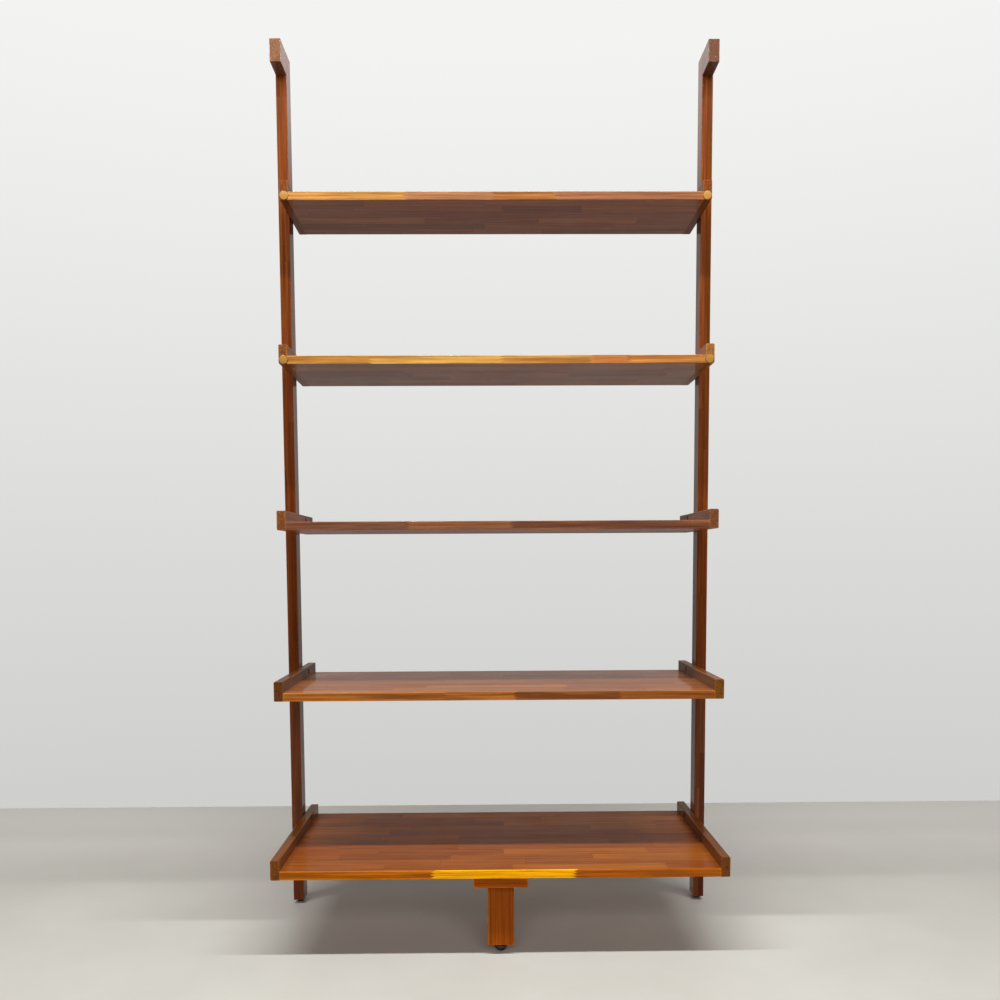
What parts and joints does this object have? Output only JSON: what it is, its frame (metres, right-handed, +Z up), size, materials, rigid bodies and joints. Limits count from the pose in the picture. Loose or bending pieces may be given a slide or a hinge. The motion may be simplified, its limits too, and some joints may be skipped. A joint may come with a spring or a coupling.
{
  "type": "ladder shelf",
  "caption": "Tall open shelf of glossy laminated hardwood: upright posts with forward top arms carry shelves that grow deeper downwards, with a short front leg and levelling feet.",
  "frame": {"origin": "on the floor, at the bottom centre of the whole unit's box", "axes": "+X to the right across the shelves, +Y to the back, +Z up; the deep fronts of the shelves face -Y"},
  "size_m": [1.052, 0.507, 2.088],
  "materials": {
    "post_wood": "gloss varnish",
    "arm_wood": "gloss varnish",
    "board_wood": "gloss varnish",
    "rail_wood": "gloss varnish",
    "leg_wood": "gloss varnish",
    "plug_wood": "gloss varnish",
    "dowel_wood": "plain beech",
    "black_steel": "black oxide",
    "insert_brass": "plain",
    "screw_steel": "zinc plated",
    "foot_plastic": "moulded black"
  },
  "bodies": {
    "unit": {"left_post": "post_wood", "left_top_arm": "arm_wood", "right_post": "post_wood", "right_top_arm": "arm_wood", "top_arm_dowels": "dowel_wood", "shelf_1_board": "board_wood", "shelf_1_left_rail": "rail_wood", "shelf_1_right_rail": "rail_wood", "shelf_1_dowels": "dowel_wood", "shelf_2_board": "board_wood", "shelf_2_left_rail": "rail_wood", "shelf_2_right_rail": "rail_wood", "shelf_2_dowels": "dowel_wood", "shelf_3_board": "board_wood", "shelf_3_left_rail": "rail_wood", "shelf_3_right_rail": "rail_wood", "shelf_3_dowels": "dowel_wood", "shelf_4_board": "board_wood", "shelf_4_left_rail": "rail_wood", "shelf_4_right_rail": "rail_wood", "shelf_4_dowels": "dowel_wood", "shelf_5_board": "board_wood", "shelf_5_left_rail": "rail_wood", "shelf_5_right_rail": "rail_wood", "shelf_5_dowels": "dowel_wood", "front_button_plugs": "plug_wood", "shelf_locating_dowels": "dowel_wood", "shelf_bolts": "black_steel", "post_threaded_inserts": "insert_brass", "leg_plate": "leg_wood", "front_leg": "leg_wood", "leg_plate_screws": "screw_steel", "front_leg_screws": "screw_steel", "left_foot_insert": "insert_brass", "right_foot_insert": "insert_brass", "front_foot_insert": "insert_brass"},
    "left_stem": {"left_foot_stem": "screw_steel"},
    "left_pad": {"left_foot_pad": "foot_plastic"},
    "right_stem": {"right_foot_stem": "screw_steel"},
    "right_pad": {"right_foot_pad": "foot_plastic"},
    "front_stem": {"front_foot_stem": "screw_steel"},
    "front_pad": {"front_foot_pad": "foot_plastic"}
  },
  "joints": [
    {"name": "left_foot_screw", "type": "slide", "parent": "unit", "child": "left_stem", "axis": [0, 0, 1], "range_m": [-0.012, 0]},
    {"name": "left_pad_swivel", "type": "hinge", "parent": "left_stem", "child": "left_pad", "pos_m": [-0.513, 0.1535, 0], "axis": [0, 0, 1], "continuous": true},
    {"name": "right_foot_screw", "type": "slide", "parent": "unit", "child": "right_stem", "axis": [0, 0, 1], "range_m": [-0.012, 0]},
    {"name": "right_pad_swivel", "type": "hinge", "parent": "right_stem", "child": "right_pad", "pos_m": [0.513, 0.1535, 0], "axis": [0, 0, 1], "continuous": true},
    {"name": "front_foot_screw", "type": "slide", "parent": "unit", "child": "front_stem", "axis": [0, 0, 1], "range_m": [-0.012, 0.007]},
    {"name": "front_pad_swivel", "type": "hinge", "parent": "front_stem", "child": "front_pad", "pos_m": [0, -0.1905, 0], "axis": [0, 0, 1], "continuous": true}
  ]
}
